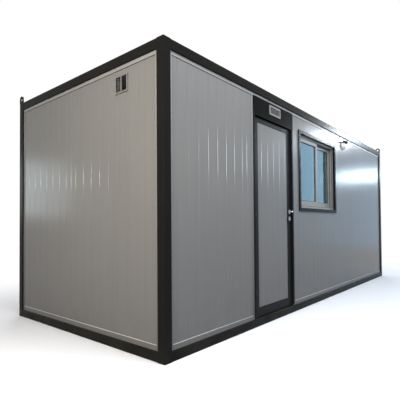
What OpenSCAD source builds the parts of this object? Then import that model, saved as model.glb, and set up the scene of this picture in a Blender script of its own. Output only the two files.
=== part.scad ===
// Portable site cabin: a welded steel box frame filled with sandwich panels,
// with a hinged door, a two-sash sliding window, a vent, two lamps and lifting lugs.
// Millimetres, +Z up, origin under the middle of the floor, front wall towards -Y.

/* [Cabin] */
// Length over the corner posts
cabin_l = 6000; // [5400:50:7200]
// Width over the corner posts
cabin_w = 2400; // [2100:50:3000]
// Height from the ground to the top of the roof rails
cabin_h = 2460; // [2420:10:2900]

/* [Steel frame] */
// Side of the square corner posts, and depth of the rails
post_w = 80; // [80:1:100]
// Wall of the posts, rails and joists
tube_t = 4; // [3:0.5:5]
// Outer corner radius of the posts, rails and joists
tube_r = 6; // [6:0.5:10]
// Height of the roof rails
top_rail_h = 84; // [76:1:100]
// Height of the base rails
base_rail_h = 80; // [70:1:110]
// Width of a floor joist
joist_w = 50; // [40:1:60]
// Number of floor joists, odd so that one lies in the middle
joist_count = 9; // [9:2:13]
// Thickness of the floor deck
deck_t = 20; // [18:1:28]

/* [Roof] */
// Thickness of the roof panel without its ribs
roof_t = 46; // [40:1:56]
// Height of the roof ribs
rib_h = 22; // [12:1:24]
// Width of a rib at its foot
rib_w = 60; // [50:1:80]
// Width of a rib at its crown
rib_crown_w = 30; // [20:1:40]
// Number of roof ribs
rib_count = 21; // [15:2:23]

/* [Wall panels] */
// Thickness of the wall panels
wall_t = 60; // [50:1:60]
// Thickness of the sheet of the panel tracks
track_t = 3; // [2:0.5:3]
// Height of the track under the roof rail
top_track_h = 28; // [20:1:36]
// Height of the track on the base rail
bottom_track_h = 40; // [28:1:50]
// Face width of the tracks up the posts and door jambs
side_track_w = 22; // [16:1:30]
// Cover width of a wall panel
panel_w = 1084; // [900:1:1200]
// Narrowest strip of panel that is cut to fill a wall
strip_min = 60; // [40:5:100]
// A panel joint on the ends, from the left corner seen from outside
end_joint = 1089; // [300:1:1300]
// A panel joint on the front left of the door, and on the rear, from the left corner
left_joint = 1155; // [300:1:1300]
// A panel joint on the front right of the window, from the left corner
right_joint = 4740; // [3900:1:5200]
// Reach of a panel's tongue into its neighbour
tongue_l = 10; // [8:1:16]
// Thickness of a tongue
tongue_t = 16; // [12:1:20]
// Clearance round a tongue
tongue_clear = 0.5; // [0.3:0.1:1]
// Gap between two panels at a joint
joint_gap = 0.5; // [0.3:0.1:1]
// Depth of the chamfer beside a panel joint
joint_d = 2; // [1:0.5:3]
// Spacing of the pressed grooves
groove_pitch = 130; // [110:1:150]
// Width of a groove
groove_w = 12; // [8:1:16]
// Depth of a groove
groove_d = 1.5; // [1:0.1:2.5]

/* [Door] */
// Distance of the door portal from the left corner
portal_x = 1268; // [1000:1:1400]
// Width over the door jambs
portal_w = 874; // [820:1:960]
// Face width of a door jamb
jamb_w = 24; // [20:1:30]
// Setback of the portal's face behind the frame's face
portal_set = 4; // [2:0.5:8]
// Height of the panel over the door
header_h = 196; // [170:1:230]
// Setback of the door leaf's face behind the frame's face
leaf_set = 27; // [26:0.5:30]
// Thickness of the door leaf
leaf_t = 40; // [36:1:40]
// Gap beside the hinges and over the leaf
leaf_gap = 5; // [5:0.5:7]
// Gap on the lock side
latch_gap = 8; // [8:0.5:10]
// Gap under the leaf
sill_gap = 6; // [5:0.5:10]
// Width of the leaf's stiles
stile_w = 80; // [74:1:95]
// Height of the leaf's top rail
leaf_rail_h = 48; // [44:1:90]
// Height of the leaf's bottom rail
kick_h = 92; // [80:1:150]
// Thickness of the leaf's infill panel
infill_t = 26; // [20:1:28]
// Distance of the infill's first groove from its hinge edge
infill_groove = 81; // [40:1:110]
// Setback of the infill behind the leaf's face
infill_set = 6; // [3:0.5:6]
// Reach of the door stop into the opening
stop_w = 14; // [12:1:20]
// Gap between the closed leaf and the door stop
stop_gap = 5; // [5:0.5:6]

/* [Hinges] */
// Radius of a hinge barrel
barrel_r = 7; // [6:0.5:8]
// Radius of a hinge pin
pin_r = 4; // [3:0.5:4.5]
// Radial clearance of the pins and spindle
pin_clear = 0.05; // [0.02:0.01:0.1]
// Height of one knuckle
knuckle_h = 45; // [35:1:60]
// Distance of a pin's end below the top of its upper knuckle
pin_short = 5; // [3:0.5:10]
// Running clearance of the barrels and levers from flat faces
running_gap = 0.5; // [0.3:0.1:0.8]
// Gap between the fixed and the moving knuckle
knuckle_gap = 0.4; // [0.3:0.1:1]
// Thickness of a hinge plate
hinge_plate_t = 3; // [2:0.5:3]
// Width of the plate on the leaf
hinge_plate_w = 30; // [24:1:40]
// Distance of the end hinges from the ends of the leaf
hinge_inset = 180; // [120:5:260]

/* [Lock] */
// Height of the lever above the ground
lever_z = 1178; // [1000:1:1300]
// Distance from the leaf's edge to the spindle
backset = 45; // [40:1:50]
// Length of the lever from the spindle
lever_l = 122; // [100:1:140]
// Radius of the lever's round bar
lever_r = 9.5; // [8:0.5:10]
// Bend radius of the lever at its neck
lever_bend = 16; // [12:1:20]
// Radius of the spindle inside the leaf
spindle_r = 5; // [4:0.5:6]
// Distance of the lever's bar from its rose
lever_reach = 44; // [36:1:60]
// Radius of the roses
rose_r = 25; // [22:1:28]
// Thickness of the roses
rose_t = 8; // [6:1:10]
// Distance of the keyhole below the lever
key_drop = 80; // [70:1:95]
// Radius of the lock cylinder's round part
plug_r = 8.5; // [8:0.5:9]
// Width of the lock cylinder's straight part
plug_web_w = 10; // [9:0.5:11]
// Height of the lock cylinder
plug_h = 33; // [31:1:36]
// Reach of the lock cylinder past its rose
plug_nose = 1.5; // [1:0.5:4]
// Width of the keyway
keyway_w = 2.5; // [2:0.5:4]
// Height of the keyway
keyway_h = 9; // [8:0.5:10]
// Depth of the keyway
keyway_d = 6; // [4:0.5:8]

/* [Window] */
// Distance of the window trim from the door portal
window_gap = 172; // [120:1:500]
// Distance of the top of the trim below the top of the cabin
window_drop = 260; // [240:1:400]
// Width over the trim
window_w = 1235; // [1000:1:1500]
// Height over the trim
window_h = 1005; // [800:1:1010]
// Face width of the trim
trim_w = 40; // [34:1:60]
// Setback of the trim's face behind the frame's face
trim_set = 2; // [0:0.5:8]
// Thickness of the trim's lining of the opening
lining_t = 12; // [6:1:14]
// Setback of the aluminium frame behind the steel frame's face
sill_set = 35; // [30:1:40]
// Face width of the aluminium frame
sash_frame_w = 28; // [24:1:36]
// Depth of a sash track in the frame
track_d = 10; // [6:1:12]
// Thickness of a sash
sash_t = 24; // [20:1:28]
// Clearance between a sash and the sides of its track
sash_clear = 1; // [0.5:0.5:1.5]
// Thickness of the lips beside the tracks
lip_t = 7; // [5:1:9]
// Face width of the sash stiles
sash_stile_w = 45; // [36:1:55]
// Face height of the sash's bottom rail
sash_sill_h = 66; // [50:1:80]
// Face height of the sash's top rail
sash_head_h = 50; // [40:1:70]
// Thickness of the panes
glass_t = 5; // [4:0.5:6]
// Setback of a pane behind the face of its sash
glass_set = 15; // [6:0.5:15]

/* [Vent] */
// Distance of the vent from the front corner of the left end
vent_inset = 434; // [240:1:1000]
// Distance of the top of the vent below the top of the cabin
vent_drop = 164; // [160:1:500]
// Width of the vent
vent_w = 164; // [140:1:200]
// Height of the vent
vent_h = 152; // [130:1:160]
// Thickness of the vent's flange
vent_t = 10; // [8:1:12]
// Border of the vent's frame
vent_border = 13; // [10:1:18]
// Width of the bar between the two lights
vent_bar = 14; // [12:1:24]
// Number of blades in a light
blade_count = 6; // [4:1:8]
// Thickness of a blade
blade_t = 2; // [1.5:0.5:3]

/* [Lamps] */
// Distance of the door lamp from the hinge side of the portal
door_lamp_inset = 313; // [60:1:500]
// Distance of the door lamp from the underside of the panel over the door
door_lamp_rise = 66; // [20:1:70]
// Width of the door lamp
door_lamp_w = 244; // [220:1:280]
// Height of the door lamp
door_lamp_h = 103; // [90:1:115]
// Depth of the door lamp
door_lamp_d = 8; // [7:0.5:16]
// Border of the door lamp
door_lamp_border = 18; // [12:1:24]
// Setback of the door lamp's lens
lens_set = 2; // [1:0.5:3]
// Thickness of the door lamp's lens
lens_t = 4; // [3:0.5:5]
// Distance of the wall lamp's centre from the window trim
wall_lamp_gap = 341; // [120:1:1500]
// Distance of the wall lamp's centre below the top of the cabin
wall_lamp_drop = 207; // [200:1:400]
// Radius of the wall lamp
wall_lamp_r = 70; // [55:1:75]
// Reach of the wall lamp's hood from the wall
hood_reach = 65; // [50:1:80]
// Thickness of the hood
hood_t = 4; // [3:0.5:6]
// Angle that the hood spans
hood_angle = 120; // [90:5:180]
// Thickness of the wall lamp's base
lamp_base_t = 12; // [8:1:16]
// Reach of the wall lamp's lens from its base
lamp_lens_d = 34; // [24:1:40]

/* [Lifting lugs] */
// Width of a lug plate
lug_w = 80; // [70:1:80]
// Height of a lug above the post
lug_h = 80; // [66:1:100]
// Thickness of a lug plate
lug_t = 12; // [10:1:16]
// Radius of the shackle hole
lug_hole_r = 20; // [16:1:24]

/* [Hidden] */
$fn = 64;
cut = 1;
wall_set = (post_w - wall_t) - track_t;
inner_set = wall_set + wall_t;
tube_inner_r = max(tube_r - tube_t, tube_t / 4);
side_z0 = base_rail_h + bottom_track_h;
side_z1 = cabin_h - top_rail_h - top_track_h;
panel_x0 = post_w + track_t;
groove_count = floor(panel_w / groove_pitch);
groove_margin = (panel_w - (groove_count - 1) * groove_pitch) / 2;
panels_each_way = ceil(cabin_l / panel_w);
wall_z0 = base_rail_h + track_t;
wall_z1 = cabin_h - top_rail_h - track_t;
roof_z0 = cabin_h - top_rail_h + tube_t;
portal_x1 = portal_x + portal_w;
header_z0 = side_z1 - header_h;
leaf_x0 = portal_x + jamb_w + leaf_gap;
leaf_x1 = portal_x1 - jamb_w - latch_gap;
leaf_z0 = base_rail_h + sill_gap;
leaf_z1 = header_z0 - leaf_gap;
leaf_w = leaf_x1 - leaf_x0;
leaf_h = leaf_z1 - leaf_z0;
infill_w = leaf_w - 2 * stile_w;
infill_h = leaf_h - leaf_rail_h - kick_h;
stop_set = leaf_set + leaf_t + stop_gap;
hinge_u = portal_x + jamb_w + barrel_r + 2 * running_gap;
hinge_v = leaf_set - barrel_r - running_gap;
hinge_zs = [leaf_z0 + hinge_inset,
            (leaf_z0 + leaf_z1) / 2 - knuckle_h,
            leaf_z1 - hinge_inset - 2 * knuckle_h];
pin_l = knuckle_h - pin_short;
lock_u = leaf_x1 - backset;
window_x = portal_x1 + window_gap;
window_z = cabin_h - window_drop - window_h;
opening_x0 = window_x + trim_w;
opening_x1 = window_x + window_w - trim_w;
opening_z0 = window_z + trim_w;
opening_z1 = window_z + window_h - trim_w;
light_x0 = opening_x0 + sash_frame_w;
light_x1 = opening_x1 - sash_frame_w;
light_z0 = opening_z0 + sash_frame_w;
light_z1 = opening_z1 - sash_frame_w;
track_w = sash_t + 2 * sash_clear;
sash_frame_d = 2 * track_w + 3 * lip_t;
front_track_v = sill_set + lip_t;
rear_track_v = front_track_v + track_w + lip_t;
meeting_x = (light_x0 + light_x1) / 2;
vent_x = cabin_w - vent_inset - vent_w;
vent_z = cabin_h - vent_drop - vent_h;
vent_light_w = (vent_w - 2 * vent_border - vent_bar) / 2;
vent_light_h = vent_h - 2 * vent_border;
door_lamp_x = portal_x + door_lamp_inset;
door_lamp_z = header_z0 + door_lamp_rise;
wall_lamp_x = window_x + window_w + wall_lamp_gap;
wall_lamp_z = cabin_h - wall_lamp_drop;
frame_dark = [0.17, 0.17, 0.165];
panel_grey = [0.66, 0.67, 0.67];
track_grey = [0.78, 0.78, 0.77];
aluminium = [0.76, 0.76, 0.74];
lamp_white = [0.9, 0.9, 0.88];
FRONT = "front";
RIGHT = "right";
REAR = "rear";
LEFT = "left";
SIDES = [FRONT, RIGHT, REAR, LEFT];

// Length of a side over its two corner posts
function side_length(side) = side == FRONT || side == REAR ? cabin_l : cabin_w;

// Places of the panel joints between two places along a wall, a panel apart from a known joint
function joints(u0, u1, known) = [
    for (k = [-panels_each_way : panels_each_way])
        let (u = known + k * panel_w)
        if (u > u0 + strip_min && u < u1 - strip_min) u
];

// Groove centres between two places along a wall, the same on every panel
function grooves(u0, u1, known) = [
    for (k = [-panels_each_way : panels_each_way], i = [0 : groove_count - 1])
        let (u = known + k * panel_w + groove_margin + i * groove_pitch)
        if (u > u0 + groove_w && u < u1 - groove_w) u
];

// Puts a side's own frame in place: x runs to the right seen from outside, y runs inwards
module on_side(side) {
    turn = search([side], SIDES)[0];
    corners = [[-1, -1], [1, -1], [1, 1], [-1, 1]];
    translate([corners[turn][0] * cabin_l / 2, corners[turn][1] * cabin_w / 2, 0])
        rotate(turn * 90)
            children();
}

// Flat rectangle with round corners
module rounded(width, height, corner_r) {
    translate([corner_r, 0])
        square([width - 2 * corner_r, height]);
    translate([0, corner_r])
        square([width, height - 2 * corner_r]);
    for (x = [corner_r, width - corner_r], y = [corner_r, height - corner_r])
        translate([x, y])
            circle(r = corner_r);
}

// Inside of a tube's section
module bore(width, height) {
    translate([tube_t, tube_t])
        rounded(width - 2 * tube_t, height - 2 * tube_t, tube_inner_r);
}

// Rectangular tube along x, open at both ends
module tube(length, depth, height) {
    rotate([90, 0, 90])
        linear_extrude(length)
            difference() {
                rounded(depth, height, tube_r);
                bore(depth, height);
            }
}

// Upright flat ring in a wall's frame, from y = v0 to v1
module ring(u0, u1, z0, z1, v0, v1, left, right, bottom, top) {
    difference() {
        translate([u0, v0, z0])
            cube([u1 - u0, v1 - v0, z1 - z0]);
        translate([u0 + left, v0 - cut, z0 + bottom])
            cube([u1 - u0 - left - right, v1 - v0 + 2 * cut, z1 - z0 - bottom - top]);
    }
}

// Sandwich panel with pressed grooves on its outer face. A joined left edge is slotted for its
// neighbour's tongue, and a joined right edge has the tongue
module panel(u0, u1, z0, z1, v0, thickness, centres, slotted = false, tongued = false) {
    v1 = v0 + thickness;
    middle = (v0 + v1) / 2;
    tongue = tongue_t / 2;
    slot = tongue + tongue_clear;
    slot_u = u0 + tongue_l + tongue_clear;
    edge_u = u0 + joint_gap;
    left = slotted
        ? [[edge_u, v1], [edge_u, middle + slot], [slot_u, middle + slot], [slot_u, middle - slot],
           [edge_u, middle - slot], [edge_u, v0 + joint_d], [edge_u + joint_d, v0]]
        : [[u0, v1], [u0, v0]];
    right = tongued
        ? [[u1 - joint_d, v0], [u1, v0 + joint_d], [u1, middle - tongue], [u1 + tongue_l, middle - tongue],
           [u1 + tongue_l, middle + tongue], [u1, middle + tongue], [u1, v1]]
        : [[u1, v0], [u1, v1]];
    outer = [for (u = centres) each [
        [u - groove_w / 2, v0],
        [u - groove_w / 2 + groove_d, v0 + groove_d],
        [u + groove_w / 2 - groove_d, v0 + groove_d],
        [u + groove_w / 2, v0]
    ]];
    translate([0, 0, z0])
        linear_extrude(z1 - z0)
            polygon(concat(left, outer, right));
}

// Row of panels between two places along a side, tongue in slot
module wall(side, u0, u1, known, z0 = wall_z0, z1 = wall_z1) {
    edges = concat([u0], joints(u0, u1, known), [u1]);
    last = len(edges) - 2;
    on_side(side)
        for (i = [0 : last])
            panel(edges[i], edges[i + 1], z0, z1, wall_set, wall_t,
                  grooves(edges[i], edges[i + 1], known), i > 0, i < last);
}

module base_rail(side) {
    color(frame_dark)
        on_side(side)
            translate([post_w, 0, 0])
                tube(side_length(side) - 2 * post_w, post_w, base_rail_h);
}

module top_rail(side) {
    color(frame_dark)
        on_side(side)
            translate([post_w, 0, cabin_h - top_rail_h])
                tube(side_length(side) - 2 * post_w, post_w, top_rail_h);
}

// Square corner post, closed at the top
module post(side) {
    color(frame_dark)
        on_side(side)
            difference() {
                linear_extrude(cabin_h)
                    rounded(post_w, post_w, tube_r);
                translate([0, 0, -cut])
                    linear_extrude(cabin_h - tube_t + cut)
                        bore(post_w, post_w);
            }
}

// Cross joists that stand on the ground between the long base rails
module floor_joists() {
    spacing = (cabin_l - 2 * post_w) / (joist_count + 1);
    color(frame_dark)
        for (i = [1 : joist_count])
            translate([-cabin_l / 2 + post_w + i * spacing + joist_w / 2, -cabin_w / 2 + post_w, 0])
                rotate(90)
                    tube(cabin_w - 2 * post_w, joist_w, base_rail_h);
}

module floor_deck() {
    color([0.5, 0.45, 0.4])
        translate([-cabin_l / 2 + post_w, -cabin_w / 2 + post_w, base_rail_h])
            cube([cabin_l - 2 * post_w, cabin_w - 2 * post_w, deck_t]);
}

// Ribbed roof panel that closes the frame of roof rails
module roof_panel() {
    length = cabin_l - 2 * post_w;
    width = cabin_w - 2 * post_w;
    spacing = length / rib_count;
    ribs = [for (i = [rib_count - 1 : -1 : 0])
        let (x = (i + 0.5) * spacing)
        each [
            [x + rib_w / 2, roof_t],
            [x + rib_crown_w / 2, roof_t + rib_h],
            [x - rib_crown_w / 2, roof_t + rib_h],
            [x - rib_w / 2, roof_t]
        ]];
    color(track_grey)
        translate([-length / 2, width / 2, roof_z0])
            rotate([90, 0, 0])
                linear_extrude(width)
                    polygon(concat([[0, 0], [length, 0], [length, roof_t]], ribs, [[0, roof_t]]));
}

// U-shaped sheet track along x that holds the edge of the panels
module panel_track(length, height) {
    difference() {
        translate([0, wall_set - track_t, 0])
            cube([length, wall_t + 2 * track_t, height]);
        translate([-cut, wall_set, track_t])
            cube([length + 2 * cut, wall_t, height]);
    }
}

module bottom_track(side, u0, u1) {
    on_side(side)
        translate([u0, 0, base_rail_h])
            panel_track(u1 - u0, bottom_track_h);
}

// Upright track on the post or jamb at a place along a side, for a panel on its right or its left
module side_track(side, u, to_right) {
    on_side(side)
        translate([u, 0, side_z0])
            mirror([to_right ? 0 : 1, 0, 0])
                linear_extrude(side_z1 - side_z0)
                    difference() {
                        translate([0, wall_set - track_t])
                            square([side_track_w, wall_t + 2 * track_t]);
                        translate([track_t, wall_set])
                            square([side_track_w, wall_t]);
                    }
}

// Tracks along the base rails and up the posts and door jambs
module bottom_tracks() {
    color(track_grey) {
        bottom_track(FRONT, post_w, portal_x);
        bottom_track(FRONT, portal_x1, cabin_l - post_w);
        side_track(FRONT, portal_x, false);
        side_track(FRONT, portal_x1, true);
        for (side = [RIGHT, REAR, LEFT])
            bottom_track(side, post_w, side_length(side) - post_w);
        for (side = SIDES) {
            side_track(side, post_w, true);
            side_track(side, side_length(side) - post_w, false);
        }
    }
}

module top_tracks() {
    color(track_grey)
        for (side = SIDES)
            on_side(side)
                translate([post_w, 0, cabin_h - top_rail_h])
                    mirror([0, 0, 1])
                        panel_track(side_length(side) - 2 * post_w, top_track_h);
}

// Left end wall, cut through behind the vent's two lights
module left_wall() {
    color(panel_grey)
        difference() {
            wall(LEFT, panel_x0, cabin_w - panel_x0, end_joint);
            on_side(LEFT)
                translate([vent_x + vent_border, wall_set - cut, vent_z + vent_border])
                    cube([vent_w - 2 * vent_border, wall_t + 2 * cut, vent_light_h]);
        }
}

module right_wall() {
    color(panel_grey)
        wall(RIGHT, panel_x0, cabin_w - panel_x0, end_joint);
}

module rear_wall() {
    color(panel_grey)
        wall(REAR, panel_x0, cabin_l - panel_x0, left_joint);
}

module front_wall_left() {
    color(panel_grey)
        wall(FRONT, panel_x0, portal_x - track_t, left_joint);
}

module front_wall_latch() {
    color(panel_grey)
        wall(FRONT, portal_x1 + track_t, opening_x0 - lining_t, right_joint);
}

module front_wall_sill() {
    color(panel_grey)
        wall(FRONT, opening_x0 - lining_t, opening_x1 + lining_t, right_joint,
             wall_z0, opening_z0 - lining_t);
}

module front_wall_lintel() {
    color(panel_grey)
        wall(FRONT, opening_x0 - lining_t, opening_x1 + lining_t, right_joint,
             opening_z1 + lining_t, wall_z1);
}

module front_wall_right() {
    color(panel_grey)
        wall(FRONT, opening_x1 + lining_t, cabin_l - panel_x0, right_joint);
}

// Door jamb with its stop, drawn for the hinge side at x = 0
module jamb() {
    translate([0, 0, base_rail_h])
        linear_extrude(header_z0 - base_rail_h)
            polygon([
                [0, portal_set],
                [jamb_w, portal_set],
                [jamb_w, stop_set],
                [jamb_w + stop_w, stop_set],
                [jamb_w + stop_w, post_w],
                [0, post_w]
            ]);
}

module door_jamb_hinge() {
    color(frame_dark)
        on_side(FRONT)
            translate([portal_x, 0, 0])
                jamb();
}

module door_jamb_latch() {
    color(frame_dark)
        on_side(FRONT)
            translate([portal_x1, 0, 0])
                mirror([1, 0, 0])
                    jamb();
}

// Panel over the door, with the stop for the leaf's top edge
module door_header() {
    color(frame_dark)
        on_side(FRONT) {
            translate([portal_x, portal_set, header_z0])
                cube([portal_w, post_w - portal_set, header_h]);
            translate([portal_x + jamb_w + stop_w, stop_set, header_z0 - stop_w])
                cube([portal_w - 2 * jamb_w - 2 * stop_w, post_w - stop_set, stop_w + cut]);
        }
}

// Aluminium frame of the door leaf, bored for the lever's spindle
module door_leaf() {
    color(frame_dark)
        on_side(FRONT)
            difference() {
                ring(leaf_x0, leaf_x1, leaf_z0, leaf_z1, leaf_set, leaf_set + leaf_t,
                     stile_w, stile_w, kick_h, leaf_rail_h);
                translate([lock_u, leaf_set - cut, lever_z])
                    rotate([-90, 0, 0])
                        cylinder(r = spindle_r + pin_clear, h = leaf_t + 2 * cut);
            }
}

module door_infill() {
    u0 = leaf_x0 + stile_w;
    u1 = u0 + infill_w;
    z0 = leaf_z0 + kick_h;
    centres = [u0 + infill_groove : groove_pitch : u1 - groove_w];
    color(panel_grey)
        on_side(FRONT)
            panel(u0, u1, z0, z0 + infill_h, leaf_set + infill_set, infill_t, centres);
}

// Lower knuckles on the hinge jamb, each with its upright pin
module hinge_pins() {
    plate_l = hinge_u - portal_x - jamb_w;
    color([0.3, 0.3, 0.3])
        on_side(FRONT)
            for (z = hinge_zs) {
                translate([hinge_u, hinge_v, z])
                    cylinder(r = barrel_r, h = knuckle_h);
                translate([hinge_u - plate_l, hinge_v - hinge_plate_t / 2, z])
                    cube([plate_l, hinge_plate_t, knuckle_h]);
                translate([hinge_u, hinge_v, z + knuckle_h - cut])
                    cylinder(r = pin_r, h = pin_l + cut);
            }
}

// Upper knuckles on the leaf, which turn on the pins
module hinge_knuckles() {
    color([0.3, 0.3, 0.3])
        on_side(FRONT)
            for (z = hinge_zs)
                translate([hinge_u, 0, z + knuckle_h + knuckle_gap])
                    difference() {
                        union() {
                            translate([0, hinge_v, 0])
                                cylinder(r = barrel_r, h = knuckle_h);
                            translate([0, leaf_set - hinge_plate_t, 0])
                                cube([hinge_plate_w, hinge_plate_t, knuckle_h]);
                        }
                        translate([0, hinge_v, -cut])
                            cylinder(r = pin_r + pin_clear, h = pin_l + 2 * cut);
                    }
}

// Round rose on the leaf's outer face, in which the lever's neck turns
module lever_rose() {
    translate([0, leaf_set, 0])
        rotate([90, 0, 0])
            difference() {
                cylinder(r = rose_r, h = rose_t);
                translate([0, 0, -cut])
                    cylinder(r = lever_r + pin_clear, h = rose_t + 2 * cut);
            }
}

// Round rose with the nose of the lock cylinder and its keyway
module key_rose() {
    plug_up = plug_h / 2 - plug_r;
    web_end = plug_h / 2 - plug_web_w / 2;
    translate([0, leaf_set, 0])
        rotate([90, 0, 0])
            difference() {
                union() {
                    cylinder(r = rose_r, h = rose_t);
                    linear_extrude(rose_t + plug_nose) {
                        translate([0, plug_up])
                            circle(r = plug_r);
                        translate([-plug_web_w / 2, -web_end])
                            square([plug_web_w, web_end + plug_up]);
                        translate([0, -web_end])
                            circle(r = plug_web_w / 2);
                    }
                }
                translate([-keyway_w / 2, plug_up - keyway_h / 2, rose_t + plug_nose - keyway_d])
                    cube([keyway_w, keyway_h, keyway_d + cut]);
            }
}

// Copies what is on the leaf's outer face to its inner face too
module both_faces() {
    children();
    translate([0, 2 * leaf_set + leaf_t, 0])
        mirror([0, 1, 0])
            children();
}

// Roses of the lever and of the keyhole, on both faces of the leaf
module lock_roses() {
    color([0.75, 0.75, 0.75])
        on_side(FRONT)
            both_faces() {
                translate([lock_u, 0, lever_z])
                    lever_rose();
                translate([lock_u, 0, lever_z - key_drop])
                    key_rose();
            }
}

// Levers on both faces, joined by the spindle through the stile
module lever_handle() {
    bar_v = leaf_set - rose_t - lever_reach;
    color([0.85, 0.85, 0.86])
        on_side(FRONT)
            translate([lock_u, 0, lever_z]) {
                both_faces() {
                    translate([0, leaf_set - running_gap, 0])
                        rotate([90, 0, 0])
                            cylinder(r = lever_r, h = rose_t + lever_reach - lever_bend - running_gap);
                    translate([-lever_bend, bar_v + lever_bend, 0])
                        rotate(-90)
                            rotate_extrude(angle = 90)
                                translate([lever_bend, 0])
                                    circle(r = lever_r);
                    translate([-lever_bend, bar_v, 0])
                        rotate([0, -90, 0])
                            cylinder(r = lever_r, h = lever_l - lever_bend - lever_r);
                    translate([lever_r - lever_l, bar_v, 0])
                        sphere(r = lever_r);
                }
                translate([0, leaf_set - rose_t, 0])
                    rotate([-90, 0, 0])
                        cylinder(r = spindle_r, h = leaf_t + 2 * rose_t);
            }
}

// Folded surround: a flange on the wall and a lining of the opening
module window_trim() {
    color(frame_dark)
        on_side(FRONT) {
            ring(window_x, window_x + window_w, window_z, window_z + window_h,
                 trim_set, wall_set, trim_w, trim_w, trim_w, trim_w);
            ring(opening_x0 - lining_t, opening_x1 + lining_t, opening_z0 - lining_t, opening_z1 + lining_t,
                 wall_set - cut, inner_set, lining_t, lining_t, lining_t, lining_t);
        }
}

// Aluminium frame with two tracks, one behind the other
module window_frame() {
    color(aluminium)
        on_side(FRONT)
            difference() {
                ring(opening_x0, opening_x1, opening_z0, opening_z1, sill_set, sill_set + sash_frame_d,
                     sash_frame_w, sash_frame_w, sash_frame_w, sash_frame_w);
                for (v = [front_track_v, rear_track_v])
                    translate([light_x0 - track_d, v, light_z0 - track_d])
                        cube([light_x1 - light_x0 + 2 * track_d, track_w, light_z1 - light_z0 + 2 * track_d]);
            }
}

// One sash between two places along the wall, standing in a track
module sash(u0, u1, track_v, left, right) {
    ring(u0, u1, light_z0 - track_d, light_z1 + track_d - sash_clear,
         track_v + sash_clear, track_v + sash_clear + sash_t,
         left, right, sash_sill_h + track_d, sash_head_h + track_d - sash_clear);
}

// Left sash in the front track, right sash in the rear one, their stiles in line in the middle
module window_sashes() {
    color(aluminium)
        on_side(FRONT) {
            sash(light_x0 - track_d, meeting_x + sash_stile_w / 2, front_track_v,
                 sash_stile_w + track_d, sash_stile_w);
            sash(meeting_x - sash_stile_w / 2, light_x1 + track_d, rear_track_v,
                 sash_stile_w, sash_stile_w + track_d);
        }
}

module pane(u0, u1, track_v) {
    translate([u0, track_v + sash_clear + glass_set, light_z0 + sash_sill_h])
        cube([u1 - u0, glass_t, light_z1 - light_z0 - sash_sill_h - sash_head_h]);
}

module window_glass() {
    color([0.6, 0.75, 0.85, 0.5])
        on_side(FRONT) {
            pane(light_x0 + sash_stile_w, meeting_x - sash_stile_w / 2, front_track_v);
            pane(meeting_x + sash_stile_w / 2, light_x1 - sash_stile_w, rear_track_v);
        }
}

// Vent of two upright lights with sloping blades, on the left end
module wall_vent() {
    light_z = vent_z + vent_border;
    blade_pitch = vent_light_h / blade_count;
    color(lamp_white)
        on_side(LEFT)
            for (i = [0, 1]) {
                u0 = vent_x + i * vent_w / 2;
                light_u = vent_x + vent_border + i * (vent_light_w + vent_bar);
                difference() {
                    translate([u0, wall_set - vent_t, vent_z])
                        cube([vent_w / 2, vent_t, vent_h]);
                    translate([light_u, wall_set - vent_t - cut, light_z])
                        cube([vent_light_w, vent_t + 2 * cut, vent_light_h]);
                }
                for (k = [0 : blade_count - 1])
                    translate([light_u, wall_set - vent_t + blade_t, light_z + (k + 0.3) * blade_pitch])
                        rotate([45, 0, 0])
                            cube([vent_light_w, vent_t - blade_t, blade_t]);
            }
}

// Oblong lamp housing on the panel over the door
module door_lamp() {
    color(lamp_white)
        on_side(FRONT)
            difference() {
                translate([door_lamp_x, portal_set - door_lamp_d, door_lamp_z])
                    cube([door_lamp_w, door_lamp_d, door_lamp_h]);
                translate([door_lamp_x + door_lamp_border, portal_set - door_lamp_d - cut,
                           door_lamp_z + door_lamp_border])
                    cube([door_lamp_w - 2 * door_lamp_border, lens_set + lens_t + cut,
                          door_lamp_h - 2 * door_lamp_border]);
            }
}

// Round lamp base with an eyelid hood over its upper part
module wall_lamp() {
    color(frame_dark)
        on_side(FRONT)
            translate([wall_lamp_x, wall_set, wall_lamp_z])
                rotate([90, 0, 0]) {
                    cylinder(r = wall_lamp_r, h = lamp_base_t);
                    rotate(90 - hood_angle / 2)
                        rotate_extrude(angle = hood_angle)
                            translate([wall_lamp_r - hood_t / 2, 0])
                                square([hood_t, hood_reach]);
                }
}

// Lens of the door lamp, and the domed lens of the wall lamp
module lamp_lenses() {
    lens_r = wall_lamp_r - hood_t - 4 * running_gap;
    dome_r = (lens_r * lens_r + lamp_lens_d * lamp_lens_d) / (2 * lamp_lens_d);
    color([0.82, 0.83, 0.83])
        on_side(FRONT) {
            translate([door_lamp_x + door_lamp_border, portal_set - door_lamp_d + lens_set,
                       door_lamp_z + door_lamp_border])
                cube([door_lamp_w - 2 * door_lamp_border, lens_t, door_lamp_h - 2 * door_lamp_border]);
            translate([wall_lamp_x, wall_set - lamp_base_t, wall_lamp_z])
                rotate([90, 0, 0])
                    intersection() {
                        translate([0, 0, lamp_lens_d - dome_r])
                            sphere(r = dome_r);
                        cylinder(r = 2 * lens_r, h = lamp_lens_d + cut);
                    }
        }
}

// Round-topped plate with a shackle hole, on a corner post in line with an end wall
module lug(side, on_right) {
    arc_r = lug_w / 2;
    color(frame_dark)
        on_side(side)
            translate([on_right ? side_length(side) - lug_w : 0, lug_t, cabin_h])
                rotate([90, 0, 0])
                    linear_extrude(lug_t)
                        difference() {
                            union() {
                                square([lug_w, lug_h - arc_r]);
                                translate([arc_r, lug_h - arc_r])
                                    circle(r = arc_r);
                            }
                            translate([arc_r, lug_h - arc_r])
                                circle(r = lug_hole_r);
                        }
}

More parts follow.
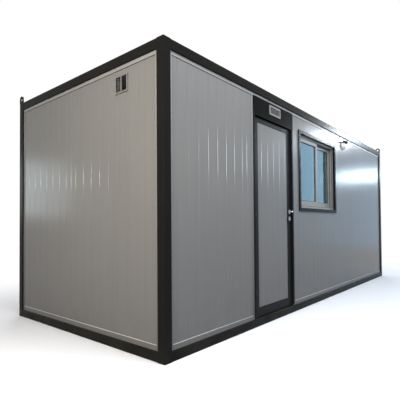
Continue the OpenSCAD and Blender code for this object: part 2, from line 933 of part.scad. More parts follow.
base_rail(FRONT);  // base_rail_front
base_rail(RIGHT);  // base_rail_right
base_rail(REAR);  // base_rail_rear
base_rail(LEFT);  // base_rail_left
floor_joists();
floor_deck();
post(FRONT);  // post_front_left
post(RIGHT);  // post_front_right
post(REAR);  // post_rear_right
post(LEFT);  // post_rear_left
top_rail(FRONT);  // top_rail_front
top_rail(RIGHT);  // top_rail_right
top_rail(REAR);  // top_rail_rear
top_rail(LEFT);  // top_rail_left
roof_panel();
bottom_tracks();
top_tracks();
left_wall();
right_wall();
rear_wall();
front_wall_left();
front_wall_latch();
front_wall_sill();
front_wall_lintel();
front_wall_right();
door_jamb_hinge();
door_jamb_latch();
door_header();
door_leaf();
door_infill();
hinge_pins();
hinge_knuckles();
lock_roses();
lever_handle();
window_trim();
window_frame();
window_sashes();
window_glass();
wall_vent();
door_lamp();
wall_lamp();
lamp_lenses();
lug(LEFT, false);  // lug_rear_left
lug(RIGHT, false);  // lug_front_right
lug(RIGHT, true);  // lug_rear_right
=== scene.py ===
"""Portable site cabin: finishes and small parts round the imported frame, panels, door and window."""

import math

import bpy
from mathutils import Matrix, Vector


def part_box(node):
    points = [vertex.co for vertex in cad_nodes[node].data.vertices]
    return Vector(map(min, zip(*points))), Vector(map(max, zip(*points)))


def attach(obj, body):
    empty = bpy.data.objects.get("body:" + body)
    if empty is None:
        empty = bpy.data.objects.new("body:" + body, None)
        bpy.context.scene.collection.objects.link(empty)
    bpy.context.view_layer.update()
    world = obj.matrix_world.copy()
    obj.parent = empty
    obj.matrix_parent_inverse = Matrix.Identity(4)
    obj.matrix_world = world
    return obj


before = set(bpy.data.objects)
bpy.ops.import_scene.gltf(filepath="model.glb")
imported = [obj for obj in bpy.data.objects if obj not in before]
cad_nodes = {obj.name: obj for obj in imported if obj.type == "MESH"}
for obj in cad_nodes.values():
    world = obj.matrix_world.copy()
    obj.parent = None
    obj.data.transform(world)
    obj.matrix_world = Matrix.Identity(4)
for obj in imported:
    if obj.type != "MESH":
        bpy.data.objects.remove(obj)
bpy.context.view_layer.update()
scene = bpy.context.scene
scene.view_settings.view_transform = "Standard"

# Camera
# A hand-held camera at chest height, out from the near corner and a little to its left,
# held almost level, with the picture cropped so that the lens axis lies below the middle.
camera_place = (-4.90246, -3.15683, 1.02778)
yaw = math.radians(40.06)
pitch = math.radians(1.223)
roll = math.radians(-0.42)
forward = Vector((math.cos(pitch) * math.cos(yaw),
                  math.cos(pitch) * math.sin(yaw),
                  math.sin(pitch)))
level = Vector((math.sin(yaw), -math.cos(yaw), 0))
upright = level.cross(forward)
across = math.cos(roll) * level + math.sin(roll) * upright
upward = math.cos(roll) * upright - math.sin(roll) * level
camera_data = bpy.data.cameras.new("camera")
camera_data.sensor_width = 36
camera_data.lens = 33.01
camera_data.shift_x = -0.0026
camera_data.shift_y = 0.0436
camera = bpy.data.objects.new("camera", camera_data)
turn_to_view = Matrix((across, upward, -forward)).transposed().to_4x4()
camera.matrix_world = Matrix.Translation(camera_place) @ turn_to_view
scene.collection.objects.link(camera)
scene.camera = camera


# Steel frame
# Square posts and rails of cold-formed tube, welded at the corners and sprayed with a dark
# enamel over primer. The enamel is fairly glossy, with a fine peel and a little dust low down.
def finish(name, **sockets):
    """A new material whose shader has the named sockets set, with spaces for underscores."""
    material = bpy.data.materials.new(name)
    material.use_nodes = True
    shader = material.node_tree.nodes["Principled BSDF"]
    for socket, value in sockets.items():
        shader.inputs[socket.replace("_", " ")].default_value = value
    return material


def add(material, kind, inputs, **settings):
    """Adds a node of a kind to a material, with its inputs linked or set, and gives it back."""
    tree = material.node_tree
    node = tree.nodes.new("ShaderNode" + kind)
    for name, value in settings.items():
        setattr(node, name, value)
    for name, value in inputs.items():
        if isinstance(value, bpy.types.NodeSocket):
            tree.links.new(value, node.inputs[name])
        else:
            node.inputs[name].default_value = value
    return node


def place_on(material):
    """The piece's own coordinates, in metres."""
    return add(material, "TexCoord", {}).outputs["Object"]


def axes_of(material, vector):
    """The X, Y and Z of a vector."""
    return add(material, "SeparateXYZ", {"Vector": vector}).outputs


def height_of(material, place):
    """Height above the ground."""
    return axes_of(material, place)["Z"]


def noise(material, place, scale, detail, roughness=0.5):
    """A cloudy pattern with so many clouds to the metre."""
    inputs = {"Vector": place, "Scale": scale, "Detail": detail, "Roughness": roughness}
    return add(material, "TexNoise", inputs).outputs["Fac"]


def stretch(material, place, factors):
    """Coordinates scaled along each axis, for streaks and brush lines."""
    return add(material, "Mapping", {"Vector": place, "Scale": factors}).outputs["Vector"]


def between(material, value, low, high, out_low=0.0, out_high=1.0):
    """Turns the range from low to high into another range, held at its ends."""
    inputs = {"Value": value, "From Min": low, "From Max": high,
              "To Min": out_low, "To Max": out_high}
    return add(material, "MapRange", inputs).outputs["Result"]


def patches(material, place, scale, detail, roughness=0.5, low=0.3, high=0.7):
    """Soft patches from 0 to 1, cut from a cloudy pattern between two of its levels."""
    return between(material, noise(material, place, scale, detail, roughness), low, high)


def calc(material, operation, a, b=0.0):
    """One operation on two values."""
    return add(material, "Math", {0: a, 1: b}, operation=operation).outputs[0]


def times(material, a, b):
    """The product of two values."""
    return calc(material, "MULTIPLY", a, b)


def blend_colours(material, share, first, second):
    """The first colour where the share is 0, the second where it is 1."""
    inputs = {"Factor": share, 6: first, 7: second}
    return add(material, "Mix", inputs, data_type="RGBA").outputs[2]


def bump(material, height, depth, under=None):
    """A raised and sunk surface of a depth in metres, over another bump if there is one."""
    inputs = {"Height": height, "Strength": 1.0, "Distance": depth}
    if under:
        inputs["Normal"] = under
    return add(material, "Bump", inputs).outputs["Normal"]


def wire(material, **outputs):
    """Links outputs to the shader's sockets, with spaces for underscores."""
    shader = material.node_tree.nodes["Principled BSDF"]
    for socket, output in outputs.items():
        material.node_tree.links.new(output, shader.inputs[socket.replace("_", " ")])


def coat(material, *names):
    """Gives solids of the frame a finish."""
    for name in names:
        for slot in cad_nodes[name].material_slots:
            slot.material = material


enamel = finish("dark_enamel", Specular_IOR_Level=0.028)
spot = place_on(enamel)
enamel_colour = blend_colours(enamel, patches(enamel, spot, 2.3, 3),
                              (0.0088, 0.0089, 0.0086, 1), (0.0112, 0.0111, 0.0105, 1))
dust_low = between(enamel, height_of(enamel, spot), 0.30, 0.0)
dust_patch = patches(enamel, spot, 4.0, 5, 0.6, 0.35, 0.75)
dust = times(enamel, times(enamel, dust_low, dust_patch), 0.22)
enamel_colour = blend_colours(enamel, dust, enamel_colour, (0.075, 0.066, 0.055, 1))
smear = noise(enamel, stretch(enamel, spot, (2, 2, 1)), 1.2, 2)
peel = bump(enamel, noise(enamel, spot, 420.0, 1), 0.000006)
peel = bump(enamel, noise(enamel, spot, 3.0, 1), 0.0002, peel)
wire(enamel, Base_Color=enamel_colour, Normal=peel,
     Roughness=between(enamel, smear, 0.3, 0.7, 0.26, 0.28))
coat(enamel, "base_rail_front", "base_rail_right", "base_rail_rear", "base_rail_left",
     "floor_joists", "post_front_left", "post_front_right", "post_rear_right", "post_rear_left",
     "top_rail_front", "top_rail_right", "top_rail_rear", "top_rail_left",
     "lug_rear_left", "lug_front_right", "lug_rear_right",
     "door_jamb_hinge", "door_jamb_latch", "window_trim")


# Frame welds
# Beads laid by hand where each rail butts on a post, on the faces that a grinder can reach,
# rippled along their length and painted with the frame.
def start_piece():
    """Leaves nothing selected, so that what is made next stands alone."""
    bpy.ops.object.select_all(action="DESELECT")


def stacked_piece(sides, radius, steps, smooth_angle, foot=(0, 0, 0)):
    """A round piece drawn up from a disc: each step rises, then swells or shrinks."""
    start_piece()
    bpy.ops.mesh.primitive_circle_add(vertices=sides, radius=radius, fill_type="NGON",
                                      location=foot)
    piece = bpy.context.object
    bpy.ops.object.transform_apply(location=True, rotation=True, scale=True)
    bpy.ops.object.mode_set(mode="EDIT")
    bpy.ops.mesh.select_all(action="SELECT")
    for rise, swell in steps:
        bpy.ops.mesh.extrude_region_move(TRANSFORM_OT_translate={"value": (0, 0, rise)})
        bpy.ops.transform.resize(value=(swell, swell, 1))
    bpy.ops.mesh.select_all(action="SELECT")
    bpy.ops.mesh.normals_make_consistent(inside=False)
    bpy.ops.object.mode_set(mode="OBJECT")
    bpy.ops.object.shade_smooth_by_angle(angle=math.radians(smooth_angle))
    return piece


def move(x, y, z):
    """A shift by so many metres along each axis."""
    return Matrix.Translation((x, y, z))


def turn(degrees, axis):
    """A turn about an axis through the origin."""
    return Matrix.Rotation(math.radians(degrees), 4, axis)


def join_copies(piece, name, places):
    """Copies a piece's mesh to each place, joins the copies to one piece and removes the first."""
    start_piece()
    for place in places:
        copy = piece.copy()
        copy.data = piece.data.copy()
        copy.data.transform(place)
        scene.collection.objects.link(copy)
        copy.select_set(True)
        bpy.context.view_layer.objects.active = copy
    bpy.data.objects.remove(piece)
    bpy.ops.object.join()
    joined = bpy.context.object
    joined.name = name
    joined.data.name = name
    return joined


def fit(piece, material):
    """Gives a new piece its finish and fixes it to the cabin."""
    piece.data.materials.append(material)
    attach(piece, "cabin")


bead_radius = 0.0042
bead_ripple = 0.003
bead_rings = 23
bead_tip = 0.6
tip_swell, ripple_swell, end_shrink = 1.55, 1.12, 0.64
bead_steps = [(bead_ripple, ripple_swell if ring % 2 else 1 / ripple_swell)
              for ring in range(bead_rings)]
bead_steps[0] = (bead_ripple, tip_swell)
bead_steps[-1] = (bead_ripple, end_shrink)
bead = stacked_piece(10, bead_radius * bead_tip, bead_steps, smooth_angle=50,
                     foot=(0, 0, -bead_ripple * bead_rings / 2))
joint_x, joint_y = 2.9222, 1.1222
face_x, face_y = 2.9985, 1.1985
rail_x, rail_y = 2.960, 1.160
rail_heights = (0.040, 2.418)
roof_rail_top = 2.4585
lug_edge_x, lug_foot = 2.9870, 2.4610
weld_places = []
for side_x in (-1, 1):
    for side_y in (-1, 1):
        for height in rail_heights:
            weld_places.append(move(side_x * joint_x, side_y * face_y, height))
            weld_places.append(move(side_x * face_x, side_y * joint_y, height))
        weld_places.append(move(side_x * joint_x, side_y * rail_y, roof_rail_top) @ turn(90, "X"))
        weld_places.append(move(side_x * rail_x, side_y * joint_y, roof_rail_top) @ turn(90, "Y"))
for side_x, side_y in ((-1, 1), (1, -1), (1, 1)):
    weld_places.append(move(side_x * lug_edge_x, side_y * rail_y, lug_foot) @ turn(90, "X"))
welds = join_copies(bead, "frame_welds", weld_places)
fit(welds, enamel)

# Floor deck
# Boards of film-faced plywood laid on the joists, brown and slightly glossy, with the film
# scuffed pale by boots.
ply = finish("film_faced_ply")
spot = place_on(ply)
grain = noise(ply, stretch(ply, spot, (4, 90, 90)), 1.0, 5, 0.6)
scuffed = patches(ply, spot, 7.0, 5, 0.6, 0.45, 0.7)
ply_colour = blend_colours(ply, grain, (0.060, 0.034, 0.020, 1), (0.105, 0.062, 0.038, 1))
ply_colour = blend_colours(ply, times(ply, scuffed, 0.5), ply_colour, (0.19, 0.15, 0.12, 1))
wire(ply, Base_Color=ply_colour, Roughness=between(ply, scuffed, 0, 1, 0.35, 0.62),
     Normal=bump(ply, grain, 0.0003))
coat(ply, "floor_deck")


# Panel tracks
# Channels folded from zinc-coated sheet and left pale, riveted to the rails, posts and jambs;
# they hold the edges of the panels. The zinc shows a faint spangle, and is painted darker low
# down as painted shade and paler high up as painted light.
def spangle_on(material, place, scale):
    """The grey of each crystal of zinc, with so many crystals to the metre."""
    crystals = add(material, "TexVoronoi", {"Vector": place, "Scale": scale}).outputs["Color"]
    return add(material, "SeparateColor", {"Color": crystals}).outputs["Red"]


zinc = finish("pale_zinc", Specular_IOR_Level=0.25)
spot = place_on(zinc)
spangle = spangle_on(zinc, spot, 95.0)
worn = patches(zinc, spot, 6.0, 4)
# Painted shade and light: the channels are darker low down and paler high up.
shaded_low_colour = blend_colours(zinc, spangle, (0.113, 0.114, 0.116, 1), (0.138, 0.139, 0.141, 1))
lit_high_colour = blend_colours(zinc, spangle, (0.26, 0.262, 0.266, 1), (0.30, 0.302, 0.306, 1))
painted_light_high = between(zinc, height_of(zinc, spot), 0.2, 2.0)
zinc_colour = blend_colours(zinc, painted_light_high, shaded_low_colour, lit_high_colour)
zinc_colour = blend_colours(zinc, times(zinc, worn, 0.2), zinc_colour, (0.16, 0.154, 0.146, 1))
wire(zinc, Base_Color=zinc_colour, Roughness=between(zinc, spangle, 0, 1, 0.30, 0.42),
     Normal=bump(zinc, noise(zinc, spot, 260.0, 2), 0.00008))
coat(zinc, "bottom_tracks", "top_tracks")


# Track hems
# The upper edge of each bottom channel is folded back into a small hem, painted pale along the
# fold as a painted highlight, which shows as a pale line along the foot of every wall.
def raised_piece(name, low, high, face_y, depth, ring=0):
    """A slab or a mitred ring in an upright plane, from face_y by a depth, with rounded edges."""
    start_piece()
    middle = ((low[0] + high[0]) / 2, face_y, (low[1] + high[1]) / 2)
    bpy.ops.mesh.primitive_plane_add(size=1, rotation=(math.radians(90), 0, 0), location=middle)
    piece = bpy.context.object
    piece.name = name
    piece.data.name = name
    piece.scale = (high[0] - low[0], high[1] - low[1], 1)
    bpy.ops.object.transform_apply(location=True, rotation=True, scale=True)
    bpy.ops.object.mode_set(mode="EDIT")
    bpy.ops.mesh.select_all(action="SELECT")
    if ring:
        bpy.ops.mesh.inset(thickness=ring, depth=0)
        bpy.ops.mesh.delete(type="FACE")
        bpy.ops.mesh.select_all(action="SELECT")
    bpy.ops.mesh.extrude_region_move(TRANSFORM_OT_translate={"value": (0, depth, 0)})
    bpy.ops.mesh.select_all(action="SELECT")
    bpy.ops.mesh.normals_make_consistent(inside=False)
    narrowest = min(ring or high[1] - low[1], abs(depth))
    bpy.ops.mesh.bevel(offset=narrowest / 4, segments=2, affect="EDGES")
    bpy.ops.object.mode_set(mode="OBJECT")
    bpy.ops.object.shade_smooth_by_angle(angle=math.radians(35))
    return piece


long_half, short_half = 2.898, 1.098
long_wall_face, short_wall_face = -1.183, -2.983
doorway_left, doorway_right = -1.754, -0.836
wall_runs = (
    ("front_left", 0, -long_half, doorway_left, long_wall_face),
    ("front_right", 0, doorway_right, long_half, long_wall_face),
    ("right", 90, -short_half, short_half, short_wall_face),
    ("rear", 180, -long_half, long_half, long_wall_face),
    ("left", -90, -short_half, short_half, short_wall_face))


def strips_round_walls(label, low, high, height, material):
    """A strip on every wall, from a low to a high level, standing out by a height."""
    for side, degrees, left, right, wall_y in wall_runs:
        strip = raised_piece(label + side, (left, low), (right, high), wall_y, -height)
        strip.data.transform(turn(degrees, "Z"))
        fit(strip, material)


# The hem's pale colour is a painted highlight.
hem_painted_highlight = finish("hem_painted_highlight", Specular_IOR_Level=0.5)
spot = place_on(hem_painted_highlight)
hem_highlight_patches = patches(hem_painted_highlight, spot, 18.0, 4)
hem_highlight_colour = blend_colours(hem_painted_highlight, hem_highlight_patches, (0.50, 0.505, 0.52, 1), (0.38, 0.385, 0.40, 1))
wire(hem_painted_highlight, Base_Color=hem_highlight_colour, Roughness=between(hem_painted_highlight, hem_highlight_patches, 0, 1, 0.25, 0.40),
     Normal=bump(hem_painted_highlight, noise(hem_painted_highlight, spot, 300.0, 2), 0.00006))
hem_low, hem_high, hem_height = 0.120, 0.126, 0.0055
strips_round_walls("hem_", hem_low, hem_high, hem_height, hem_painted_highlight)

# Track shadow lines
# A thin bead of dark mastic under the edge of each upper channel, put there as painted shade
# for the shadow line that the channel's edge casts on the panels.
mastic_shadow_line = finish("mastic_painted_shade", Specular_IOR_Level=0.15)
spot = place_on(mastic_shadow_line)
shadow_line_tone = patches(mastic_shadow_line, spot, 30.0, 3)
shadow_line_colour = blend_colours(mastic_shadow_line, shadow_line_tone, (0.060, 0.060, 0.062, 1), (0.085, 0.084, 0.082, 1))
wire(mastic_shadow_line, Base_Color=shadow_line_colour, Roughness=between(mastic_shadow_line, shadow_line_tone, 0, 1, 0.5, 0.7),
     Normal=bump(mastic_shadow_line, noise(mastic_shadow_line, spot, 120.0, 2), 0.0003))
shadow_line_low, shadow_line_high, shadow_line_height = 2.341, 2.348, 0.002
strips_round_walls("seal_", shadow_line_low, shadow_line_high, shadow_line_height, mastic_shadow_line)

# Track rivets
# Blind rivets with a low dome and a small sunk middle, zinc plated like the tracks and set
# every half metre along them, but not across the doorway.
rivet_radius = 0.0036
rivet_steps = ((0.0007, 0.96), (0.0006, 0.72), (0.0001, 0.5), (-0.0006, 0.9))
rivet = stacked_piece(10, rivet_radius, rivet_steps, smooth_angle=40)
track_face_x, track_face_y = 2.986, 1.186
rivet_spacing = 0.5
first_on_long_wall, first_on_end_wall = -2.75, -1.0
low_row, high_row = 0.100, 2.362
portal_left, portal_right = -1.732, -0.858
rivet_places = []
for height in (low_row, high_row):
    for side in (-1, 1):
        for step in range(12):
            along = first_on_long_wall + rivet_spacing * step
            in_portal = portal_left < along < portal_right
            in_doorway = side < 0 and height == low_row and in_portal
            if not in_doorway:
                on_track = move(along, side * track_face_y, height)
                rivet_places.append(on_track @ turn(-90 * side, "X"))
        for step in range(5):
            along = first_on_end_wall + rivet_spacing * step
            on_track = move(side * track_face_x, along, height)
            rivet_places.append(on_track @ turn(90 * side, "Y"))
rivets = join_copies(rivet, "track_rivets", rivet_places)
fit(rivets, zinc)

# Wall panels
# Sandwich panels of foam between two prepainted steel sheets, light grey and fairly glossy,
# rolled with shallow grooves. The sheets are never quite flat, so reflections waver on them.
sheet = finish("grey_sheet", Specular_IOR_Level=0.10)
spot = place_on(sheet)
streaks = noise(sheet, stretch(sheet, spot, (22, 22, 0.5)), 1.0, 3)
sheet_colour = blend_colours(sheet, patches(sheet, spot, 0.9, 2),
                             (0.188, 0.190, 0.192, 1), (0.205, 0.206, 0.206, 1))
sheet_colour = blend_colours(sheet, between(sheet, streaks, 0.45, 0.75, 0, 0.22), sheet_colour,
                             (0.160, 0.160, 0.158, 1))
# Darker towards the bottom: painted shade of the light that falls from above.
painted_shade_low = between(sheet, height_of(sheet, spot), 1.7, 0.15, 0, 0.5)
sheet_colour = blend_colours(sheet, painted_shade_low, sheet_colour, (0.143, 0.140, 0.147, 1))
splash_low = between(sheet, height_of(sheet, spot), 0.55, 0.08)
splash = times(sheet, splash_low, patches(sheet, spot, 5.0, 5, 0.6, 0.35, 0.75))
sheet_colour = blend_colours(sheet, times(sheet, splash, 0.30), sheet_colour,
                             (0.115, 0.104, 0.092, 1))

# The flanks of the grooves are the faces that look along neither axis. They are painted paler
# than the sheet, as painted light that fills in the shade in the grooves, more so towards the
# right of the cabin, and darker low down on the left as painted shade. They have a tighter
# gloss, so they glint.
facing = axes_of(sheet, add(sheet, "TexCoord", {}).outputs["Normal"])
slanted = calc(sheet, "ABSOLUTE", times(sheet, facing["X"], facing["Y"]))
flank_from, flank_to = 0.2, 0.45
painted_light_rightwards = between(sheet, axes_of(sheet, spot)["X"], -2.9, 0.1)
flank_painted_light = blend_colours(sheet, painted_light_rightwards, (0.21, 0.211, 0.214, 1), (0.35, 0.352, 0.356, 1))
flank_low_painted_light_and_shade = blend_colours(sheet, painted_light_rightwards, (0.085, 0.085, 0.084, 1), (0.31, 0.312, 0.316, 1))
flank_painted_light = blend_colours(sheet, painted_shade_low, flank_painted_light, flank_low_painted_light_and_shade)
sheet_colour = blend_colours(sheet, between(sheet, slanted, flank_from, flank_to, 0, 0.85),
                             sheet_colour, flank_painted_light)
wiped = noise(sheet, stretch(sheet, spot, (3, 3, 1.2)), 1.3, 4)
wiped = between(sheet, wiped, 0.3, 0.7, 0.175, 0.215)
tighter = between(sheet, slanted, flank_from, flank_to, 0, -0.08)
dents = bump(sheet, noise(sheet, stretch(sheet, spot, (1, 1, 0.45)), 2.6, 1), 0.0012)
dents = bump(sheet, noise(sheet, spot, 330.0, 1), 0.00005, dents)
wire(sheet, Base_Color=sheet_colour, Normal=dents,
     Roughness=calc(sheet, "ADD", wiped, tighter),
     Metallic=between(sheet, slanted, flank_from, flank_to, 0, 0.28))
coat(sheet, "left_wall", "right_wall", "rear_wall", "front_wall_left", "front_wall_latch",
     "front_wall_sill", "front_wall_lintel", "front_wall_right", "door_infill")

# Roof
# A ribbed sheet on foam between the roof rails, zinc coated, with dust and the marks of
# standing water between its ribs.
roofing = finish("roof_zinc", Specular_IOR_Level=0.5)
spot = place_on(roofing)
puddle = patches(roofing, spot, 2.4, 5, 0.6, 0.42, 0.68)
roof_colour = blend_colours(roofing, spangle_on(roofing, spot, 70.0),
                            (0.35, 0.355, 0.36, 1), (0.42, 0.425, 0.43, 1))
roof_colour = blend_colours(roofing, times(roofing, puddle, 0.55), roof_colour,
                            (0.24, 0.225, 0.20, 1))
wire(roofing, Base_Color=roof_colour, Roughness=between(roofing, puddle, 0, 1, 0.34, 0.55),
     Normal=bump(roofing, noise(roofing, spot, 200.0, 2), 0.0001))
coat(roofing, "roof_panel")

# Roof screws
# Roofing screws with a washer, driven through the crown of each rib along both edges and the
# middle of the roof.
washer_radius = 0.009
roof_screw_steps = ((0.0012, 0.95), (0.0006, 0.62), (0.0040, 1.0), (0.0008, 0.8))
roof_screw = stacked_piece(12, washer_radius, roof_screw_steps, smooth_angle=30)
rib_crown = 2.448
roof_rib_count = 21
roof_length = 5.84
screw_rows = (-1.04, 0.0, 1.04)
roof_screws = join_copies(roof_screw, "roof_screws", [
    move(roof_length * ((step + 0.5) / roof_rib_count - 0.5), row, rib_crown)
    for step in range(roof_rib_count) for row in screw_rows])
fit(roof_screws, roofing)

# Door header
# A flat steel sheet over the doorway, held between the jambs and brushed in dark paint that
# is duller than the sprayed enamel of the frame.
dull_paint = finish("dull_dark_paint", Specular_IOR_Level=0.008)
spot = place_on(dull_paint)
strokes = patches(dull_paint, stretch(dull_paint, spot, (4, 4, 40)), 1.0, 3)
paint_colour = blend_colours(dull_paint, strokes,
                             (0.0062, 0.0064, 0.0061, 1), (0.0080, 0.0081, 0.0077, 1))
wire(dull_paint, Base_Color=paint_colour,
     Roughness=between(dull_paint, strokes, 0, 1, 0.32, 0.38),
     Normal=bump(dull_paint, strokes, 0.00003))
coat(dull_paint, "door_header")

# Door leaf
# A frame of powder-coated aluminium profiles round a panel like the walls', on three hinges.
# The coat is a satin anthracite with a fine even grain.
powder = finish("anthracite_powder", Specular_IOR_Level=0.05)
spot = place_on(powder)
powder_colour = blend_colours(powder, patches(powder, spot, 3.0, 3),
                              (0.0062, 0.0072, 0.0080, 1), (0.0085, 0.0096, 0.0105, 1))
wire(powder, Base_Color=powder_colour,
     Roughness=between(powder, noise(powder, spot, 11.0, 4), 0.3, 0.7, 0.34, 0.46),
     Normal=bump(powder, noise(powder, spot, 900.0, 1), 0.00006))
coat(powder, "door_leaf")

# Hinges
# Turned steel barrels with a plate on the leaf, blackened all over and brighter where the
# knuckles rub.
hinge_steel = finish("blackened_steel", Metallic=0.85)
spot = place_on(hinge_steel)
rubbed = patches(hinge_steel, spot, 60.0, 4, low=0.35, high=0.75)
hinge_colour = blend_colours(hinge_steel, rubbed,
                             (0.035, 0.035, 0.036, 1), (0.10, 0.098, 0.095, 1))
wire(hinge_steel, Base_Color=hinge_colour,
     Roughness=between(hinge_steel, rubbed, 0, 1, 0.30, 0.48))
coat(hinge_steel, "hinge_pins", "hinge_knuckles")

# Lever and roses
# A bent round bar and pressed roses in satin chrome, finely brushed and a little duller where
# fingers have marked them.
chrome = finish("satin_chrome", Metallic=1.0)
spot = place_on(chrome)
brushed = noise(chrome, stretch(chrome, spot, (30, 900, 900)), 1.0, 2)
fingers = patches(chrome, spot, 40.0, 4, low=0.35, high=0.7)
chrome_colour = blend_colours(chrome, fingers, (0.33, 0.315, 0.285, 1), (0.25, 0.238, 0.216, 1))
wire(chrome, Base_Color=chrome_colour, Roughness=between(chrome, fingers, 0, 1, 0.22, 0.32),
     Normal=bump(chrome, brushed, 0.00003))
coat(chrome, "lock_roses", "lever_handle")

# Window frame and sashes
# Extruded aluminium, satin anodised, with faint die lines along each profile and patches that
# are a little duller from handling.
anodised = finish("satin_aluminium", Specular_IOR_Level=0.1)
spot = place_on(anodised)
die_lines = noise(anodised, stretch(anodised, spot, (3, 260, 260)), 1.0, 2)
handled = patches(anodised, spot, 5.0, 4)
anodised_colour = blend_colours(anodised, handled, (0.26, 0.259, 0.253, 1), (0.31, 0.308, 0.30, 1))
wire(anodised, Base_Color=anodised_colour,
     Roughness=between(anodised, handled, 0, 1, 0.42, 0.52),
     Normal=bump(anodised, die_lines, 0.00005))
coat(anodised, "window_frame", "window_sashes")

# Window panes
# Float glass with a blue sun coating, held in the sashes by gaskets. A small share of the light
# is scattered by the pane in its own blue, as a painted reflection on the glass.
glass = finish("blue_float_glass", Base_Color=(0.50, 0.80, 0.88, 1), Transmission_Weight=0.91,
               IOR=1.52, Specular_Tint=(0.62, 0.86, 1.0, 1))
spot = place_on(glass)
dusty = between(glass, noise(glass, spot, 3.2, 5, 0.6), 0.35, 0.75, 0.0, 0.05)
wire(glass, Roughness=dusty, Normal=bump(glass, noise(glass, spot, 1.8, 1), 0.0003))
coat(glass, "window_glass")

# Pane gaskets
# Wedges of black rubber pushed in between each pane and its sash, mitred at the corners,
# on both faces of the glass.
rubber = finish("black_rubber", Base_Color=(0.008, 0.008, 0.009, 1))
spot = place_on(rubber)
wire(rubber, Roughness=between(rubber, noise(rubber, spot, 30.0, 4), 0.3, 0.7, 0.45, 0.62),
     Normal=bump(rubber, noise(rubber, spot, 500.0, 2), 0.0001))
pane_low, pane_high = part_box("window_glass")
pane_thickness = 0.005
stile_half = 0.0225
meeting_x = -0.0685
gasket_width = 0.007
outer_depth, inner_depth = -0.004, 0.003
for label, left, right, glass_y in (
        ("left", pane_low.x, meeting_x - stile_half, pane_low.y),
        ("right", meeting_x + stile_half, pane_high.x, pane_high.y - pane_thickness)):
    for face, gasket_y, depth in (("outer", glass_y, outer_depth),
                                  ("inner", glass_y + pane_thickness, inner_depth)):
        gasket = raised_piece("gasket_" + label + "_" + face, (left, pane_low.z),
                              (right, pane_high.z), gasket_y, depth, gasket_width)
        fit(gasket, rubber)

# Sash brushes
# Strips of black pile on the inner edge of each lip of the frame, which the sashes rub on
# as they slide; they also stand as painted shade for the shadow gap round the sashes.
brush_low, brush_high = (-0.618, 1.263), (0.481, 2.132)
brush_depth, brush_width = 0.0053, 0.005
for name, brush_y in (("brush_shade_front", -1.163), ("brush_shade_rear", -1.130)):
    brush_shade_strip = raised_piece(name, brush_low, brush_high, brush_y, brush_depth, brush_width)
    fit(brush_shade_strip, rubber)


# Vent
# A moulded white frame with two lights of sloping blades, screwed over a hole in the end wall.
# The lights are darker than the frame, as they lie in its shade.
def vector_calc(material, operation, a, b=(0, 0, 0)):
    """One operation on two vectors."""
    return add(material, "VectorMath", {0: a, 1: b}, operation=operation).outputs[0]


moulded = finish("white_moulding", Specular_IOR_Level=0.5)
spot = place_on(moulded)
yellowed = patches(moulded, spot, 12.0, 4, low=0.35, high=0.75)
frame_colour = blend_colours(moulded, yellowed, (0.165, 0.164, 0.161, 1), (0.14, 0.138, 0.134, 1))
lights_middle = (-2.893, -0.684, 2.220)
from_middle = vector_calc(moulded, "SUBTRACT", spot, lights_middle)
reach = axes_of(moulded, vector_calc(moulded, "ABSOLUTE", from_middle))
width_edge, height_edge, depth_edge = (0.0695, 0.0691), (0.0635, 0.0631), (0.0997, 0.0993)
in_opening = times(moulded, between(moulded, reach["Y"], *width_edge),
                   between(moulded, reach["Z"], *height_edge))
in_lights = times(moulded, in_opening, between(moulded, reach["X"], *depth_edge))
wire(moulded, Base_Color=blend_colours(moulded, in_lights, frame_colour, (0.040, 0.040, 0.038, 1)),
     Roughness=between(moulded, yellowed, 0, 1, 0.36, 0.48),
     Normal=bump(moulded, noise(moulded, spot, 600.0, 1), 0.00005))
coat(moulded, "wall_vent", "door_lamp")

# Vent and lamp screws
# Pan-head screws of zinc-plated steel with a socket, one in each corner of the vent and of the
# lamp over the door.
screw_radius = 0.0042
screw_steps = ((0.0009, 0.97), (0.0008, 0.80), (0.0002, 0.55), (-0.0010, 0.9))
screw = stacked_piece(14, screw_radius, screw_steps, smooth_angle=40)
lamp_face, vent_face = -1.204, -2.993
screw_places = []
for lamp_height, vent_height in ((2.312, 2.2895), (2.227, 2.1505)):
    for lamp_x, vent_y in ((-1.184, -0.7595), (-1.410, -0.6085)):
        screw_places.append(move(lamp_x, lamp_face, lamp_height) @ turn(90, "X"))
        screw_places.append(move(vent_face, vent_y, vent_height) @ turn(-90, "Y"))
screws = join_copies(screw, "vent_and_lamp_screws", screw_places)
fit(screws, zinc)


# Lamps
# A bulkhead lamp with a ribbed grey lens over the door, and a round wall lamp with an opal
# dome under a dark eyelid hood.
def length_of(material, vector):
    """The length of a vector."""
    return add(material, "VectorMath", {0: vector}, operation="LENGTH").outputs["Value"]


opal = finish("opal_lens", Specular_IOR_Level=0.2)
spot = place_on(opal)
lit_side = patches(opal, spot, 25.0, 3)
grey_lens = blend_colours(opal, lit_side, (0.068, 0.072, 0.072, 1), (0.088, 0.092, 0.092, 1))
white_dome = between(opal, axes_of(opal, spot)["X"], -0.1, 0.1)
wire(opal, Base_Color=blend_colours(opal, white_dome, grey_lens, (0.92, 0.925, 0.92, 1)),
     Roughness=between(opal, lit_side, 0, 1, 0.22, 0.34),
     Normal=bump(opal, noise(opal, spot, 400.0, 1), 0.00005))
coat(opal, "lamp_lenses")
rib_radius = 0.0015
rib_length = 0.065
rib_end, rib_tip = 0.001, 0.7
rib_count = 32
lens_left, lens_width = -1.401, 0.208
lens_face, lens_foot = -1.202, 2.237
rib_steps = ((rib_end, 1.43), (rib_length - 2 * rib_end, 1.0), (rib_end, rib_tip))
rib = stacked_piece(8, rib_radius * rib_tip, rib_steps, smooth_angle=50,
                    foot=(0, lens_face, lens_foot))
lens_ribs = join_copies(rib, "lens_ribs", [
    move(lens_left + lens_width * (step + 0.5) / rib_count, 0, 0) for step in range(rib_count)])
fit(lens_ribs, opal)

